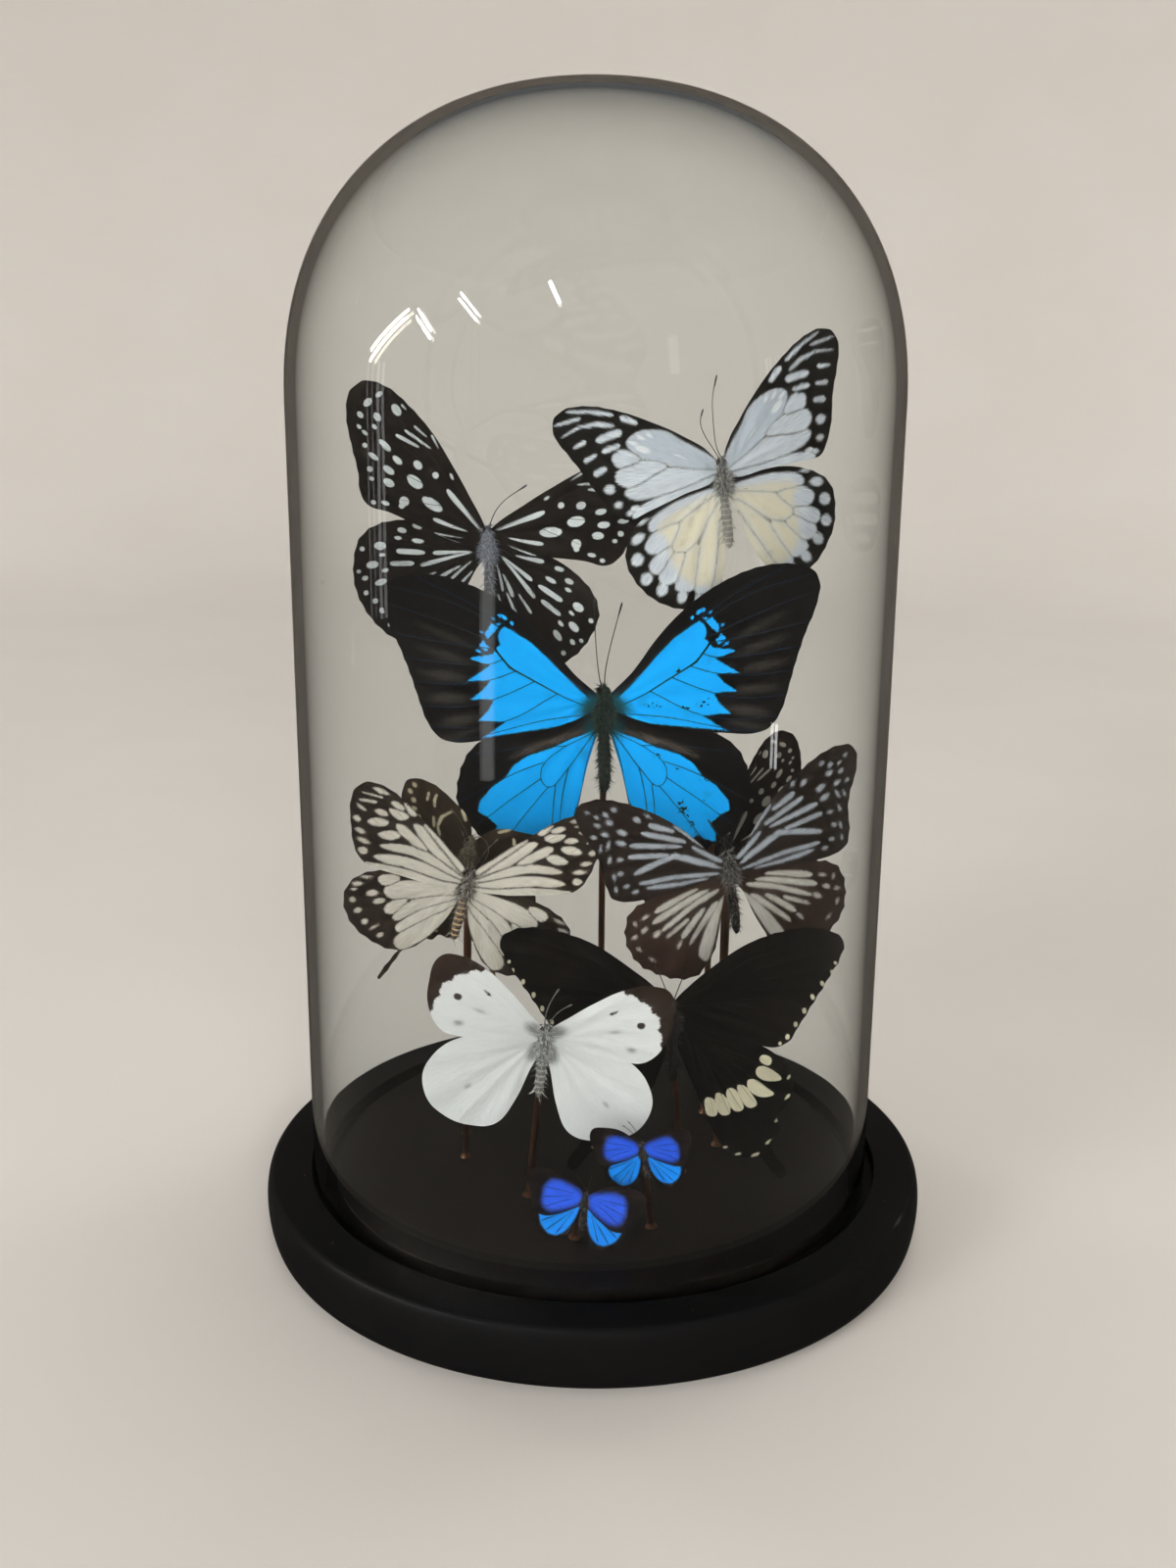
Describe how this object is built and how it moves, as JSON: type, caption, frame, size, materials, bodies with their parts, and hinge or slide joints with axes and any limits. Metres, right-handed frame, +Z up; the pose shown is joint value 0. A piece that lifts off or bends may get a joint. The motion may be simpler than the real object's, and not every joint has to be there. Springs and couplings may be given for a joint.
{
  "type": "insect display in a glass dome",
  "caption": "Dried butterflies with spread wings on upright wire rods under a tall glass dome that rests in the groove of a round black base.",
  "frame": {"origin": "centre of the base's underside", "axes": "+Z up along the dome's axis, the specimens face -Y, +X to the viewer's right"},
  "size_m": [0.2008, 0.2008, 0.327],
  "materials": {
    "base": "turned wood with satin black paint",
    "dome_glass": "clear blown glass, polished",
    "rod": "dull copper-brown wire",
    "insect_body": "dried, hairy",
    "grey_spotted_wing": "dull brown-black scales with grey-white spots",
    "white_veined_wing": "bluish white cells, black veins and border",
    "blue_swallowtail_wing": "iridescent blue with velvet black border",
    "cream_striped_wing": "cream streaks on dark brown",
    "dark_striped_wing": "grey-blue streaks on dark brown",
    "brown_swordtail_wing": "dull brown with cream bars",
    "dark_spotted_wing": "dull brown with cream spots",
    "black_swallowtail_wing": "black-brown with a cream band",
    "cabbage_white_wing": "chalky white with dark tips",
    "small_blue": "iridescent blue with black border"
  },
  "bodies": {
    "root": {"base": "base", "glass_dome": "dome_glass", "grey_spotted_body": "insect_body", "grey_spotted_left_forewing": "grey_spotted_wing", "grey_spotted_right_forewing": "grey_spotted_wing", "grey_spotted_left_hindwing": "grey_spotted_wing", "grey_spotted_right_hindwing": "grey_spotted_wing", "white_veined_body": "insect_body", "white_veined_left_forewing": "white_veined_wing", "white_veined_right_forewing": "white_veined_wing", "white_veined_left_hindwing": "white_veined_wing", "white_veined_right_hindwing": "white_veined_wing", "blue_swallowtail_body": "insect_body", "blue_swallowtail_left_forewing": "blue_swallowtail_wing", "blue_swallowtail_right_forewing": "blue_swallowtail_wing", "blue_swallowtail_left_hindwing": "blue_swallowtail_wing", "blue_swallowtail_right_hindwing": "blue_swallowtail_wing", "cream_striped_body": "insect_body", "cream_striped_left_forewing": "cream_striped_wing", "cream_striped_right_forewing": "cream_striped_wing", "cream_striped_left_hindwing": "cream_striped_wing", "cream_striped_right_hindwing": "cream_striped_wing", "dark_striped_body": "insect_body", "dark_striped_left_forewing": "dark_striped_wing", "dark_striped_right_forewing": "dark_striped_wing", "dark_striped_left_hindwing": "dark_striped_wing", "dark_striped_right_hindwing": "dark_striped_wing", "brown_swordtail_body": "insect_body", "brown_swordtail_left_forewing": "brown_swordtail_wing", "brown_swordtail_right_forewing": "brown_swordtail_wing", "brown_swordtail_left_hindwing": "brown_swordtail_wing", "brown_swordtail_right_hindwing": "brown_swordtail_wing", "dark_spotted_body": "insect_body", "dark_spotted_left_forewing": "dark_spotted_wing", "dark_spotted_right_forewing": "dark_spotted_wing", "dark_spotted_left_hindwing": "dark_spotted_wing", "dark_spotted_right_hindwing": "dark_spotted_wing", "black_swallowtail_body": "insect_body", "black_swallowtail_left_forewing": "black_swallowtail_wing", "black_swallowtail_right_forewing": "black_swallowtail_wing", "black_swallowtail_left_hindwing": "black_swallowtail_wing", "black_swallowtail_right_hindwing": "black_swallowtail_wing", "cabbage_white_body": "insect_body", "cabbage_white_left_forewing": "cabbage_white_wing", "cabbage_white_right_forewing": "cabbage_white_wing", "cabbage_white_left_hindwing": "cabbage_white_wing", "cabbage_white_right_hindwing": "cabbage_white_wing", "small_blue_upper": "small_blue", "small_blue_lower": "small_blue", "grey_spotted_rod": "rod", "white_veined_rod": "rod", "blue_swallowtail_rod": "rod", "cream_striped_rod": "rod", "dark_striped_rod": "rod", "brown_swordtail_rod": "rod", "dark_spotted_rod": "rod", "black_swallowtail_rod": "rod", "cabbage_white_rod": "rod", "small_blue_upper_rod": "rod", "small_blue_lower_rod": "rod"}
  },
  "joints": []
}
